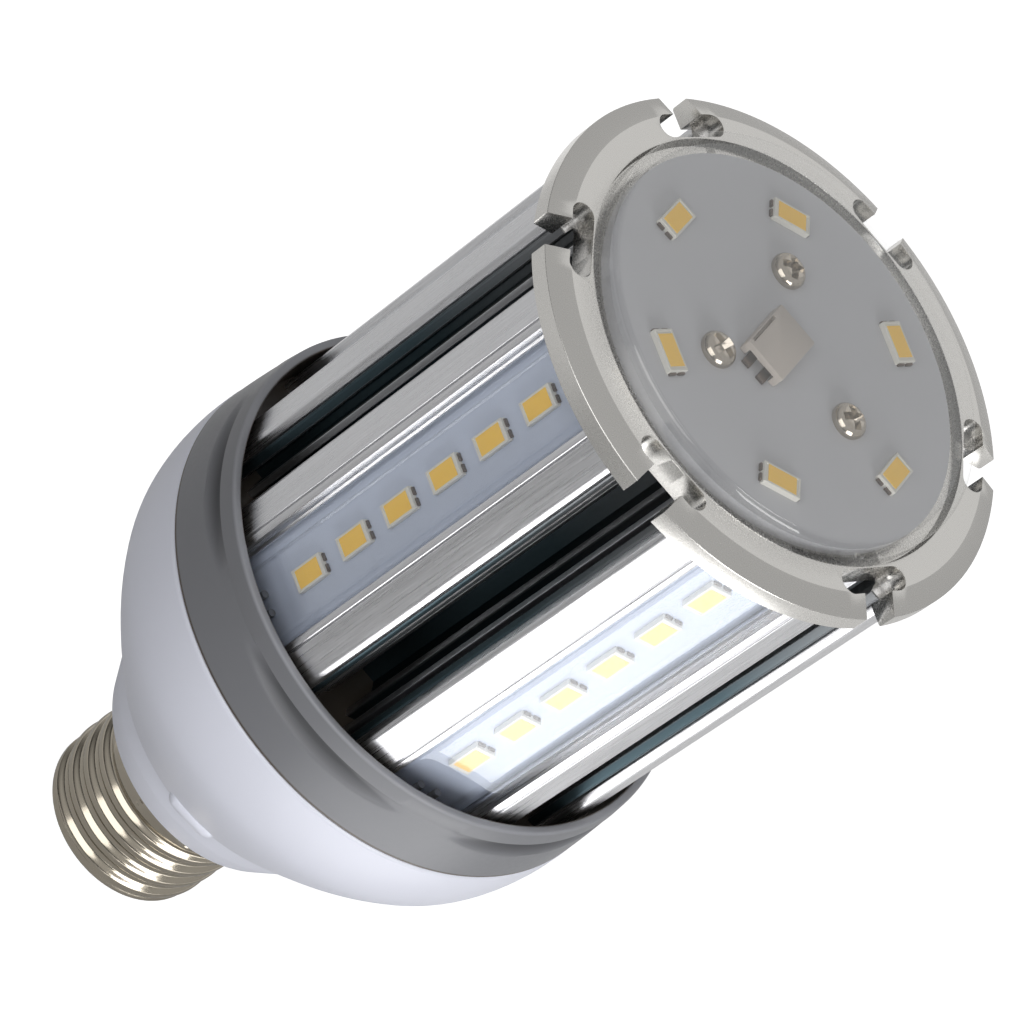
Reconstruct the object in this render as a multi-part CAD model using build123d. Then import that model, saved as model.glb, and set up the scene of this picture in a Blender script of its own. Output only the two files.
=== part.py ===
from build123d import *
import math
import os

# Screw-in lamp with six strips of emitters round a finned body and six more
# emitters on its head. All sizes are in millimetres. Z is the lamp's axis and
# the origin is the tip of the centre contact. Face 0 looks along -Y.

# Overall places along the axis
contact_height = 2.0
insulator_height = 3.5
shell_length = 22.6
neck_length = 10.4
bowl_height = 30.2
collar_height = 12.1
body_visible_length = 60.6
end_cap_rim = 2.75

shell_bottom = contact_height + insulator_height
neck_bottom = shell_bottom + shell_length
neck_top = neck_bottom + neck_length
collar_bottom = neck_top + bowl_height
collar_top = collar_bottom + collar_height
body_top = collar_top + body_visible_length

# Six faces
face_count = 6
face_step = 360 / face_count
first_face = -90.0

# Screw base
thread_radius = 13.2
thread_depth = 0.85
thread_pitch = 3.63
thread_crests = 4
crest_land = 0.35
first_crest = 2.1
shell_wall = 0.4
skirt_radius = 13.2
shell_mouth_radius = 9.6
base_clearance = 0.1
insulator_tip_radius = 5.2
insulator_depth = 2.2
contact_radius = 4.6
contact_dome = 0.8
contact_tip_rise = 0.2
contact_rivet_radius = 1.2

# Lower housing
housing_brim = 0.1
housing_wall = 2.2
neck_brim_radius = 18.3
neck_waist_radius = 20.9
neck_root_radius = 22.8
neck_ledge = 0.7
bowl_belly_inset = 4.05
bowl_belly_drop = 17.2
bowl_shoulder_inset = 0.65
bowl_shoulder_drop = 9.0
spigot_clearance = 2.6
spigot_bore = 7.2
tongue_height = 2.2
tongue_wall = 1.4
tongue_inset = 1.9
pad_count = 3
pad_turn = 33.0
pad_width = 4.6
pad_radius = 2.0
pad_sink = 0.4
pad_rise = 1.2

# Collar
collar_flare = 0.8
collar_foot_taper = 0.1
collar_waist_flare = 0.25
collar_lip_wall = 1.45
collar_sink_clearance = 0.54
collar_floor = 2.4
collar_floor_rise = 2.5
collar_round = 0.38
collar_window_radius = 7.0
scallop_arc_radius = 60.5
scallop_depth = 1.15
scallop_top_drop = 2.5
scallop_height = 4.2
scallop_wall_height = 1.1
scallop_sweep = 40.0
collar_joint_chamfer = 0.3

# Heat sink section, with (across, out) read from a face's centre line
floor_out = 29.2
slot_half = 6.7
slot_height = 2.15
lip_half = 6.25
lip_thickness = 0.5
rib_half = 7.3
rib_out = 33.35
rib_foot_out = 32.2
rib_width = 0.7
line_groove = 0.28
flange_root_half = 7.85
flange_root_out = 33.5
flange_edge_half = 12.6
flange_edge_out = 31.75
flange_edge_height = 2.95
flange_root_drop = 3.6
edge_line_depth = 1.6
edge_line_size = 0.25
arm_half = 8.0
arm_foot_half = 7.2
arm_foot_out = 16.0
gap_floor_drop = 0.7
fin_places = (26.5, 22.6)
fin_reaches = (12.0, 11.0)
fin_thickness = 1.0
chamber_top_out = 26.8
chamber_foot_out = 16.5
chamber_top_half = 6.3
chamber_foot_half = 4.6
core_bore = 7.0
cap_wire_hole = 4.6

# End cap
end_cap_overhang = 1.94
end_cap_crown = 1.25
end_cap_slope = 3.0
end_cap_edge = 0.3
end_cap_floor = 2.6
t_slot_width = 4.95
oblong_length = 11.2
oblong_wall = 0.55
oblong_width = 3.25

# Lens
lens_radius = 29.15
lens_clearance = 0.1
lens_wall = 1.5
lens_top_wall = 0.9
lens_height = 4.75
lens_round = 1.4

# Emitters
led_length = 5.7
led_width = 3.1
led_height = 0.9
led_window_length = 4.4
led_window_width = 2.5
led_window_depth = 0.35
led_corner = 0.35

# Head board
head_board_clearance = 0.3
head_board_thickness = 1.65
head_led_circle = 20.7
head_wire_hole = 2.2

# Strip boards
strip_board_width = 13.2
strip_board_thickness = 1.45
strip_top_gap = 0.6
strip_sink = 6.0

# Strip covers
cover_half = 6.1
cover_leg = 1.25
cover_top_out = 32.6
cover_top_wall = 0.75
cover_foot_half = 6.6
cover_foot_height = 0.6
cover_sink = 5.0
cover_clearance = 0.05

# Strip emitters
strip_led_count = 6
strip_first_led = 8.55
strip_led_pitch = 9.26

# Fasteners
screw_count = 3
screw_circle = 12.05
screw_radius = 1.45
screw_clearance = 0.15
thread_clearance = 0.05
screw_head_radius = 2.5
screw_head_height = 1.8
screw_length = 9.0
recess_length = 2.9
recess_width = 0.75
recess_depth = 1.1
base_screw_length = 8.0
base_screw_turn = 60.0
driver_screw_turn = 30.0

# Connector on the head board
connector_length = 9.8
connector_width = 6.4
connector_height = 2.0
connector_shift = 2.0
connector_turn = 30.0
connector_notch_width = 4.4
connector_notch_depth = 1.2
connector_notch_height = 1.2
connector_chamfer = 0.25
tab_length = 2.6
tab_width = 1.3
tab_thickness = 0.5
tab_spacing = 2.6

# Driver
driver_drop = 9.0
driver_board_inset = 6.55
driver_board_thickness = 1.6
post_circle = 27.5
post_radius = 2.6
driver_screw_length = 6.0
transformer_width = 17.0
transformer_depth = 14.0
transformer_height = 9.5
transformer_shift = 9.0
core_leg = 4.0
coil_gap = 0.4
core_wall = 3.0
input_capacitor_radius = 5.0
input_capacitor_height = 16.0
input_capacitor_place = (-9.0, -9.5)
output_capacitor_radius = 4.0
output_capacitor_height = 11.0
output_capacitor_place = (3.5, -14.5)
choke_outer = 6.0
choke_inner = 2.2
choke_height = 6.0
choke_place = (-15.5, 6.0)
rectifier_size = (6.5, 4.8, 2.4)
rectifier_place = (17.5, -7.5)
controller_size = (5.0, 4.0, 1.6)
controller_place = (10.5, -6.0)
fuse_radius = 1.7
fuse_length = 8.5
fuse_place = (-13.0, 16.0)
part_chamfer = 0.3
part_clearance = 0.05

# Leads
lead_radius = 0.8
lead_spacing = 2.6
lead_bend = 4.0
side_lead_bend = 1.6
centre_lead_start = (0.0, -5.2)
side_lead_start = (5.4, -3.0)
side_lead_drop = 1.3
side_lead_end = 11.85
strip_lead_radius = 0.55
strip_lead_reach = 3.0
strip_lead_bend = 1.6
strip_lead_hole_clearance = 0.25
cut_reach = 1.0

# Radii that follow from the heat sink's outer corners
sink_radius = math.hypot(flange_edge_half, flange_edge_out)
collar_lip_in = sink_radius + collar_sink_clearance
collar_lip_radius = collar_lip_in + collar_lip_wall
collar_waist_radius = collar_lip_radius + collar_waist_flare
collar_foot_radius = collar_lip_radius + collar_flare
housing_radius = collar_foot_radius + housing_brim
driver_board_radius = housing_radius - driver_board_inset
end_cap_radius = sink_radius + end_cap_overhang
end_cap_flat_radius = end_cap_radius - end_cap_slope

# Places that follow from the sizes above
cap_bottom = body_top
cap_rim_top = cap_bottom + end_cap_rim
cap_flat = cap_rim_top + end_cap_crown
pocket_floor = cap_bottom + end_cap_floor
pocket_radius = lens_radius + lens_clearance
oblong_inner = pocket_radius + oblong_wall
oblong_outer = oblong_inner + oblong_width
head_board_top = pocket_floor + head_board_thickness
head_board_radius = lens_radius - lens_wall - head_board_clearance
collar_deck = collar_bottom + collar_floor_rise + collar_floor
strip_board_out = floor_out + strip_board_thickness
strip_board_top = body_top - strip_top_gap
strip_board_bottom = collar_top - strip_sink
driver_top = collar_bottom - driver_drop
driver_under = driver_top - driver_board_thickness
insulator_rim = shell_bottom + shell_wall + base_clearance
insulator_top = insulator_rim + insulator_depth
spigot_bottom = insulator_top + spigot_clearance
strip_lead_out = strip_board_out + strip_lead_radius + part_clearance
strip_lead_inner = driver_board_radius - strip_lead_reach


def face_angle(index):
    return first_face + index * face_step


def gap_angle(index):
    return face_angle(index) + face_step / 2


def at_angle(radius, angle, height=0.0):
    """Place at a distance from the axis, turned to look outwards."""
    return Rot(0, 0, angle) * Pos(radius, 0, height)


def revolved(profile):
    """Full turn about Z of a closed (radius, height) outline."""
    face = make_face(Plane.XZ * Polyline(*profile, close=True))
    return revolve(face, Axis.Z)


def joined_edges(runs):
    """Edges of an outline that is given as runs of lines and arcs."""
    return [edge for run in runs for edge in run.edges()]


def turned(runs, angle=360):
    """Turn about Z of a closed (radius, height) outline with curved runs."""
    face = make_face([Plane.XZ * edge for edge in joined_edges(runs)])
    return revolve(face, Axis.Z, angle)


def ring(outer, inner, bottom, top):
    return Pos(0, 0, bottom) * extrude(Circle(outer) - Circle(inner), top - bottom)


def rod(radius, bottom, top):
    return Pos(0, 0, bottom) * extrude(Circle(radius), top - bottom)


def spread(shape, count, radius, start):
    """Copies of a shape, evenly spaced on a circle."""
    return [at_angle(radius, start + 360 / count * i) * shape for i in range(count)]


def shell_outline(offset):
    """Edges of the rolled thread, from the mouth up to the skirt's top."""
    crest = thread_radius - offset
    root = thread_radius - thread_depth - offset
    low = shell_bottom + first_crest
    crests = [low + thread_pitch * i for i in range(thread_crests + 1)]
    half = crest_land / 2
    edges = []
    for z in crests[:-1]:
        edges.append(Line((crest, z - half), (crest, z + half)))
        start = (crest, z + half)
        end = (crest, z + thread_pitch - half)
        middle = (root, z + thread_pitch / 2)
        edges.append(ThreePointArc(start, middle, end))
    edges.append(Line((crest, crests[-1] - half), (skirt_radius - offset, neck_bottom)))
    return edges, (crest, crests[0] - half)


def screw_shell():
    outer, outer_start = shell_outline(0)
    inner, inner_start = shell_outline(shell_wall)
    mouth_outer = (shell_mouth_radius, shell_bottom)
    mouth_inner = (shell_mouth_radius, shell_bottom + shell_wall)
    bulge = math.sqrt(0.5)
    reach = outer_start[0] - shell_mouth_radius
    rise = outer_start[1] - shell_bottom
    outer_mid = (shell_mouth_radius + reach * bulge, outer_start[1] - rise * bulge)
    inner_mid = (outer_mid[0] - shell_wall * bulge, outer_mid[1] + shell_wall * bulge)
    edges = outer + inner
    edges.append(ThreePointArc(mouth_outer, outer_mid, outer_start))
    edges.append(ThreePointArc(mouth_inner, inner_mid, inner_start))
    edges.append(Line(mouth_outer, mouth_inner))
    top_outer = (skirt_radius, neck_bottom)
    top_inner = (skirt_radius - shell_wall, neck_bottom)
    edges.append(Line(top_outer, top_inner))
    return turned(edges)


def base_insulator():
    seat = shell_mouth_radius - base_clearance
    brim = seat + base_clearance * 4
    outline = [
        (contact_rivet_radius + base_clearance, contact_height),
        (insulator_tip_radius, contact_height),
        (seat, shell_bottom - base_clearance),
        (seat, insulator_rim),
        (brim, insulator_rim),
        (brim, insulator_rim + insulator_depth / 2),
        (seat - insulator_depth, insulator_top),
        (contact_rivet_radius + base_clearance, insulator_top),
    ]
    return revolved(outline)


def centre_contact():
    top = shell_bottom + insulator_depth + contact_height
    edges = [
        ThreePointArc((0, 0), (contact_radius * 0.6, contact_tip_rise), (contact_radius, contact_dome)),
        Line((contact_radius, contact_dome), (contact_radius, contact_height)),
        Line((contact_radius, contact_height), (contact_rivet_radius, contact_height)),
        Line((contact_rivet_radius, contact_height), (contact_rivet_radius, top)),
        Line((contact_rivet_radius, top), (0, top)),
        Line((0, top), (0, 0)),
    ]
    return turned(edges)


def bowl_edges(inset):
    """Side of the housing from its rim down to the ledge above the neck."""
    rim = (housing_radius - inset, collar_bottom - collar_joint_chamfer)
    shoulder = (rim[0] - bowl_shoulder_inset, collar_bottom - bowl_shoulder_drop)
    belly = (rim[0] - bowl_belly_inset, collar_bottom - bowl_belly_drop)
    foot = (neck_root_radius + neck_ledge - inset * 0.7, neck_top + inset * 0.7)
    slope = (foot[0] - belly[0], foot[1] - belly[1])
    return Spline(rim, shoulder, belly, foot, tangents=[(0, -1), slope])


def lower_housing():
    outer = bowl_edges(0)
    inner = bowl_edges(housing_wall)
    ledge = outer @ 1
    inner_foot = inner @ 1
    root = (neck_root_radius, neck_top - neck_ledge * 0.4)
    waist = (neck_waist_radius, (neck_top + neck_bottom) / 2)
    brim = (neck_brim_radius, neck_bottom)
    spigot_radius = skirt_radius - shell_wall - base_clearance
    thread_core = thread_radius - thread_depth - shell_wall - base_clearance * 2
    thread_top = shell_bottom + first_crest + thread_pitch * thread_crests
    neck_bore = neck_brim_radius - housing_wall - base_clearance
    tongue_out = housing_radius - tongue_inset
    tongue_in = tongue_out - tongue_wall
    rim_inner = inner @ 0
    tongue_top = collar_bottom + tongue_height
    neck_floor = neck_bottom + housing_wall
    edges = [
        outer,
        Polyline(ledge, root),
        ThreePointArc(root, waist, brim),
        Polyline(
            brim,
            (spigot_radius, neck_bottom),
            (spigot_radius, thread_top + thread_pitch / 2),
            (thread_core, thread_top),
            (thread_core, spigot_bottom),
            (spigot_bore, spigot_bottom),
            (spigot_bore, neck_floor),
            (neck_bore, neck_floor),
            (neck_bore, neck_bottom + neck_length * 0.6),
            inner_foot,
        ),
        inner,
        Polyline(
            rim_inner,
            (tongue_in, collar_bottom),
            (tongue_in, tongue_top),
            (tongue_out, tongue_top),
            (tongue_out, collar_bottom),
            (housing_radius - collar_joint_chamfer, collar_bottom),
            outer @ 0,
        ),
    ]
    body = turned(edges)
    cavity = housing_cavity()
    posts = [cavity & post for post in driver_posts()]
    pads = spread(housing_pad(), pad_count, 0, first_face + pad_turn)
    body = body + posts + [pad - cavity for pad in pads]
    hole = rod(screw_radius + thread_clearance, driver_under - driver_screw_length, driver_under)
    for place in driver_post_places():
        body = body - place * hole
    return body


def housing_cavity():
    """Space inside the housing's wall."""
    inner = bowl_edges(housing_wall)
    start = inner @ 0
    end = inner @ 1
    return turned([inner, Polyline(end, (0, end.Y), (0, start.Y), start)])


def driver_post_places():
    start = first_face + driver_screw_turn
    return spread(Pos(0, 0, 0), screw_count, post_circle, start)


def driver_posts():
    """Posts that carry the driver board, drawn past the wall they grow from."""
    post = rod(post_radius, neck_top, driver_under)
    return [place * post for place in driver_post_places()]


def housing_pad():
    """Rounded pad across the ledge, one of three."""
    body = Rot(90, 0, 0) * Cylinder(pad_radius, pad_width)
    ends = [Pos(0, side * pad_width / 2, 0) * Sphere(pad_radius) for side in (-1, 1)]
    out = neck_root_radius + neck_ledge - pad_sink
    return Pos(out, 0, neck_top + pad_rise) * (body + ends)


def collar_ring():
    floor_bottom = collar_bottom + collar_floor_rise
    tongue_out = housing_radius - tongue_inset + base_clearance
    outline = [
        (collar_foot_radius - collar_joint_chamfer, collar_bottom),
        (collar_foot_radius, collar_bottom + collar_joint_chamfer),
        (collar_foot_radius - collar_foot_taper, collar_bottom + collar_height * 0.35),
        (collar_waist_radius, collar_bottom + collar_height * 0.72),
        (collar_lip_radius, collar_top),
        (collar_lip_in, collar_top),
        (collar_lip_in, collar_deck),
        (collar_window_radius, collar_deck),
        (collar_window_radius, floor_bottom),
        (tongue_out, floor_bottom),
        (tongue_out, collar_bottom),
    ]
    body = revolved(outline)
    top_edges = body.edges().filter_by(GeomType.CIRCLE).group_by(Axis.Z)[-1]
    body = fillet(top_edges, collar_round)
    for index in range(face_count):
        body = body - Rot(0, 0, gap_angle(index)) * scallop()
    for place in spread(Pos(0, 0, 0), screw_count, screw_circle, first_face + base_screw_turn):
        body = body - place * rod(screw_radius + screw_clearance, floor_bottom, collar_deck)
    for index in range(face_count):
        for hole in strip_lead_holes():
            body = body - Rot(0, 0, face_angle(index)) * hole
    return body


def scallop():
    """Cutter for one hollow: a ledge on top that fades out downwards."""
    centre = collar_waist_radius - scallop_depth - scallop_arc_radius
    top = collar_top - scallop_top_drop
    reach = scallop_depth * 3
    fade = (scallop_arc_radius + scallop_depth * 0.5, top - scallop_height * 0.55)
    edges = [
        Line((scallop_arc_radius + reach, top), (scallop_arc_radius, top)),
        Line((scallop_arc_radius, top), (scallop_arc_radius, top - scallop_wall_height)),
        ThreePointArc(
            (scallop_arc_radius, top - scallop_wall_height),
            fade,
            (scallop_arc_radius + reach, top - scallop_height * 0.95),
        ),
        Line(
            (scallop_arc_radius + reach, top - scallop_height * 0.95),
            (scallop_arc_radius + reach, top),
        ),
    ]
    sector = turned(edges, scallop_sweep)
    return Pos(centre, 0, 0) * Rot(0, 0, -scallop_sweep / 2) * sector


def half_face_points():
    """Right half of one face's section, from the slot's floor to the gap's foot."""
    slot_top = floor_out + slot_height
    groove_out = flange_root_out - line_groove
    points = [
        (slot_half, floor_out),
        (slot_half, slot_top),
        (lip_half, slot_top),
        (lip_half, slot_top + lip_thickness),
        (rib_half - rib_width, rib_foot_out),
        (rib_half - rib_width / 2, rib_out),
        (rib_half, rib_out),
        (rib_half + line_groove, groove_out - line_groove),
        (flange_root_half, flange_root_out),
        (flange_edge_half, flange_edge_out),
        (flange_edge_half, flange_edge_out - edge_line_depth + edge_line_size),
        (flange_edge_half - edge_line_size, flange_edge_out - edge_line_depth),
        (flange_edge_half, flange_edge_out - edge_line_depth - edge_line_size),
        (flange_edge_half, flange_edge_out - flange_edge_height),
        (arm_half, flange_edge_out - flange_root_drop),
    ]
    for place, reach in zip(fin_places, fin_reaches):
        points.append((arm_half, place + fin_thickness / 2))
        points.append((reach, place + fin_thickness / 2))
        points.append((reach, place - fin_thickness / 2))
        points.append((arm_half, place - fin_thickness / 2))
    points.append((arm_foot_half, arm_foot_out))
    return points


def heat_sink_section():
    """One closed outline that runs round the six faces and gaps."""
    half = half_face_points()
    runs = []
    ends = []
    for index in range(face_count):
        angle = math.radians(face_angle(index))
        across = Vector(-math.sin(angle), math.cos(angle))
        out = Vector(math.cos(angle), math.sin(angle))
        left = [out * o - across * a for a, o in reversed(half)]
        right = [out * o + across * a for a, o in half]
        runs.append(Polyline(*left, *right))
        ends.append((left[0], right[-1]))
    for index in range(face_count):
        foot = ends[index][1]
        following = ends[(index + 1) % face_count][0]
        middle = (foot + following) * 0.5
        low = middle * ((middle.length - gap_floor_drop) / middle.length)
        runs.append(ThreePointArc(foot, low, following))
    section = make_face(joined_edges(runs)) - Circle(core_bore)
    chamber = make_face(
        Polyline(
            (chamber_foot_out, -chamber_foot_half),
            (chamber_top_out, -chamber_top_half),
            (chamber_top_out, chamber_top_half),
            (chamber_foot_out, chamber_foot_half),
            close=True,
        )
    )
    for index in range(face_count):
        section = section - Rot(0, 0, face_angle(index)) * chamber
    return section


def heat_sink():
    body = Pos(0, 0, collar_deck) * extrude(heat_sink_section(), body_top - collar_deck)
    hole = screw_radius + thread_clearance
    for angle, length, top in (
        (first_face, screw_length, True),
        (first_face + base_screw_turn, base_screw_length, False),
    ):
        for place in spread(Pos(0, 0, 0), screw_count, screw_circle, angle):
            if top:
                cut = rod(hole, body_top - length, body_top)
            else:
                cut = rod(hole, collar_deck, collar_deck + length)
            body = body - place * cut
    return body


def end_cap():
    outline = [
        (0, cap_bottom),
        (end_cap_radius - end_cap_edge, cap_bottom),
        (end_cap_radius, cap_bottom + end_cap_edge),
        (end_cap_radius, cap_rim_top - end_cap_edge),
        (end_cap_radius - end_cap_edge, cap_rim_top),
        (end_cap_flat_radius, cap_flat),
        (pocket_radius, cap_flat),
        (pocket_radius, pocket_floor),
        (0, pocket_floor),
    ]
    body = revolved(outline)
    oblong_middle = (oblong_inner + oblong_outer) / 2
    oblong = Rot(0, 0, 90) * SlotOverall(oblong_length, oblong_width)
    mouth_length = end_cap_radius + cut_reach - oblong_middle
    mouth = Pos(mouth_length / 2, 0) * Rectangle(mouth_length, t_slot_width)
    slot = Pos(0, 0, cap_bottom) * extrude(oblong + mouth, cap_flat - cap_bottom)
    for place in spread(Pos(0, 0, 0), face_count, oblong_middle, gap_angle(0)):
        body = body - place * slot
    for place in spread(Pos(0, 0, 0), screw_count, screw_circle, first_face):
        body = body - place * rod(screw_radius + screw_clearance, cap_bottom, pocket_floor)
    return body - rod(cap_wire_hole, cap_bottom, pocket_floor)


def head_lens():
    top = pocket_floor + lens_height
    body = ring(lens_radius, lens_radius - lens_wall, pocket_floor, top - lens_top_wall)
    body = body + rod(lens_radius, top - lens_top_wall, top)
    outer_edge = body.edges().filter_by(GeomType.CIRCLE).group_by(Axis.Z)[-1]
    return fillet(outer_edge, min(lens_round, lens_wall * 0.95))


def head_board():
    body = rod(head_board_radius, pocket_floor, head_board_top)
    for place in spread(Pos(0, 0, 0), screw_count, screw_circle, first_face):
        body = body - place * rod(screw_radius + screw_clearance, pocket_floor, head_board_top)
    outline = SlotOverall(lead_spacing + head_wire_hole, head_wire_hole)
    hole = Pos(0, 0, pocket_floor) * extrude(outline, head_board_thickness)
    return body - head_wires_place() * hole


def head_wires_place():
    """Place of the slot that the output leads come up through."""
    centre = Rot(0, 0, first_face) * Pos(connector_shift, 0, 0)
    return centre * Rot(0, 0, connector_turn + 90)


def led_package():
    """Package with its long side along X, its face up, standing on Z = 0."""
    body = extrude(RectangleRounded(led_length, led_width, led_corner), led_height)
    window = extrude(Rectangle(led_window_length, led_window_width), led_window_depth)
    return body - Pos(0, 0, led_height - led_window_depth) * window


def led_window():
    window = extrude(Rectangle(led_window_length, led_window_width), led_window_depth)
    return Pos(0, 0, led_height - led_window_depth) * window


def head_places():
    """Places of the six emitters on the head, long sides round the circle."""
    turn = Rot(0, 0, 90)
    places = spread(turn, face_count, head_led_circle, first_face)
    return [Pos(0, 0, head_board_top) * place for place in places]


def strip_places(index):
    """Places of one strip's emitters, long sides along the lamp."""
    places = []
    for led in range(strip_led_count):
        height = body_top - strip_first_led - led * strip_led_pitch
        face = Rot(0, 0, face_angle(index)) * Pos(strip_board_out, 0, height)
        places.append(face * Rot(0, 90, 0))
    return places


def strip_board(index):
    length = strip_board_top - strip_board_bottom
    board = Box(strip_board_thickness, strip_board_width, length)
    middle = (strip_board_top + strip_board_bottom) / 2
    return Rot(0, 0, face_angle(index)) * Pos(floor_out + strip_board_thickness / 2, 0, middle) * board


def strip_cover(index):
    """Clear trough over one strip, with feet that slide under the slot's lips."""
    foot = strip_board_out + cover_clearance
    inner = cover_half - cover_leg
    roof = cover_top_out - cover_top_wall
    half = [
        (inner, roof),
        (inner, foot),
        (cover_foot_half, foot),
        (cover_foot_half, foot + cover_foot_height),
        (cover_half, foot + cover_foot_height),
        (cover_half, cover_top_out),
    ]
    right = [(o, a) for a, o in half]
    left = [(o, -a) for a, o in reversed(half)]
    section = make_face(Polyline(*right, *left, close=True))
    bottom = collar_top - cover_sink
    body = Pos(0, 0, bottom) * extrude(section, strip_board_top - bottom)
    top_corners = body.edges().filter_by(Axis.Z).group_by(Axis.X)[-1]
    return Rot(0, 0, face_angle(index)) * fillet(top_corners, cover_top_wall * 0.7)


def pan_screw(length):
    """Pan head screw, its head's seat on Z = 0 and its shank below."""
    head = extrude(Circle(screw_head_radius), screw_head_height)
    top = head.edges().group_by(Axis.Z)[-1]
    head = fillet(top, screw_head_height * 0.55)
    recess = Pos(0, 0, screw_head_height - recess_depth) * extrude(
        Rectangle(recess_length, recess_width) + Rectangle(recess_width, recess_length),
        recess_depth,
    )
    shank = Pos(0, 0, -length) * extrude(Circle(screw_radius), length)
    return head - recess + shank


def head_screws():
    reach = screw_length + end_cap_floor + head_board_thickness - thread_clearance
    screw = Pos(0, 0, head_board_top) * pan_screw(reach)
    return spread(screw, screw_count, screw_circle, first_face)


def collar_screws():
    reach = base_screw_length + collar_floor - thread_clearance
    seat = collar_bottom + collar_floor_rise
    screw = Pos(0, 0, seat) * Rot(180, 0, 0) * pan_screw(reach)
    return spread(screw, screw_count, screw_circle, first_face + base_screw_turn)


def driver_screws():
    reach = driver_screw_length + driver_board_thickness - thread_clearance
    screw = Pos(0, 0, driver_top) * pan_screw(reach)
    return [place * screw for place in driver_post_places()]


def connector_place():
    centre = Rot(0, 0, first_face) * Pos(connector_shift, 0, head_board_top)
    return centre * Rot(0, 0, connector_turn)


def head_connector():
    body = extrude(Rectangle(connector_length, connector_width), connector_height)
    body = chamfer(body.edges().group_by(Axis.Z)[-1], connector_chamfer)
    notch = Box(connector_notch_depth, connector_notch_width, connector_notch_height)
    edge = connector_length / 2 - connector_notch_depth / 2
    body = body - Pos(edge, 0, connector_notch_height / 2) * notch
    return connector_place() * body


def connector_tabs():
    """Two solder tabs that stand out of the connector's notched end."""
    start = connector_length / 2 - connector_notch_depth + part_clearance
    tab = Box(tab_length, tab_width, tab_thickness)
    tabs = []
    for side in (-1, 1):
        place = Pos(start + tab_length / 2, side * tab_spacing / 2, tab_thickness / 2)
        tabs.append(connector_place() * place * tab)
    return tabs


def driver_board():
    body = rod(driver_board_radius, driver_under, driver_top)
    for place in driver_post_places():
        body = body - place * rod(screw_radius + screw_clearance, driver_under, driver_top)
    return body


def below_board(place, shape):
    """Hang a part that was drawn standing up from the driver board."""
    return Pos(place[0], place[1], driver_under) * Rot(180, 0, 0) * shape


def transformer_core():
    frame = Box(transformer_width, transformer_depth, transformer_height)
    window_height = transformer_height - core_wall * 2
    window_width = (transformer_width - core_wall * 2 - core_leg) / 2
    shift = (core_leg + window_width) / 2
    for side in (-1, 1):
        window = Box(window_width, transformer_depth, window_height)
        frame = frame - Pos(side * shift, 0, 0) * window
    return below_board((0, transformer_shift), Pos(0, 0, transformer_height / 2 + core_wall) * frame)


def transformer_coil():
    """Bobbin with its winding, round the core's middle leg."""
    window_height = transformer_height - core_wall * 2
    window_width = (transformer_width - core_wall * 2 - core_leg) / 2
    thickness = window_width - coil_gap * 2
    length = core_leg + coil_gap + thickness * 2
    depth = transformer_depth + coil_gap + thickness * 2
    height = window_height - coil_gap
    outer = RectangleRounded(length, depth, thickness * 0.8)
    inner = Rectangle(core_leg + coil_gap, transformer_depth + coil_gap)
    coil = extrude(outer - inner, height)
    foot = core_wall + transformer_height / 2 - height / 2
    pins = Box(length, thickness, foot)
    body = Pos(0, 0, foot) * coil
    for side in (-1, 1):
        across = side * (depth / 2 - thickness / 2)
        body = body + Pos(0, across, foot / 2) * pins
    return below_board((0, transformer_shift), body)


def can_capacitor(radius, height, place):
    can = extrude(Circle(radius), height)
    can = fillet(can.edges().group_by(Axis.Z)[-1], radius * 0.12)
    groove = ring(radius + cut_reach, radius * 0.93, height * 0.1, height * 0.16)
    return below_board(place, can - groove)


def choke():
    body = ring(choke_outer, choke_inner, 0, choke_height)
    ends = body.edges().filter_by(GeomType.CIRCLE)
    return below_board(choke_place, fillet(ends, choke_height * 0.25))


def small_block(size, place):
    block = Pos(0, 0, size[2] / 2) * Box(*size)
    return below_board(place, chamfer(block.edges().group_by(Axis.Z)[-1], part_chamfer))


def fuse():
    body = Rot(0, 90, 0) * Cylinder(fuse_radius, fuse_length)
    return below_board(fuse_place, Pos(0, 0, fuse_radius) * body)


def tube(points, radius, bends):
    """Round lead along straight runs joined by arcs."""
    path = FilletPolyline(*points, radius=bends) if len(points) > 2 else Line(*points)
    section = Plane(origin=path @ 0, z_dir=path % 0) * Circle(radius)
    return sweep(section, path)


def input_leads():
    """Two leads from the driver board to the contact's rivet and to the shell."""
    rivet_top = shell_bottom + insulator_depth + contact_height
    middle = (neck_top + neck_bottom) / 2
    x, y = centre_lead_start
    centre_points = [
        (x, y, driver_under),
        (x, y, middle),
        (0, 0, rivet_top + lead_bend),
        (0, 0, rivet_top),
    ]
    side = spigot_bore - lead_radius - base_clearance
    x, y = side_lead_start
    side_points = [
        (x, y, driver_under),
        (x, y, middle),
        (side, 0, neck_bottom),
        (side, 0, spigot_bottom - side_lead_drop),
        (side_lead_end, 0, spigot_bottom - side_lead_drop),
    ]
    centre_lead = tube(centre_points, lead_radius, lead_bend)
    side_lead = tube(side_points, lead_radius, side_lead_bend)
    return [centre_lead, side_lead]


def output_leads():
    """Two leads from the driver board up the core to the head's connector."""
    leads = []
    for side in (-1, 1):
        place = head_wires_place() * Pos(side * lead_spacing / 2, 0, 0)
        centre = place.position
        top = head_board_top - part_clearance
        leads.append(Pos(centre.X, centre.Y, 0) * rod(lead_radius, driver_top, top))
    return leads


def strip_lead_holes():
    radius = strip_lead_radius + strip_lead_hole_clearance
    hole = rod(radius, collar_bottom, collar_deck)
    return [Pos(strip_lead_out, side * lead_spacing / 2, 0) * hole for side in (-1, 1)]


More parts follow.
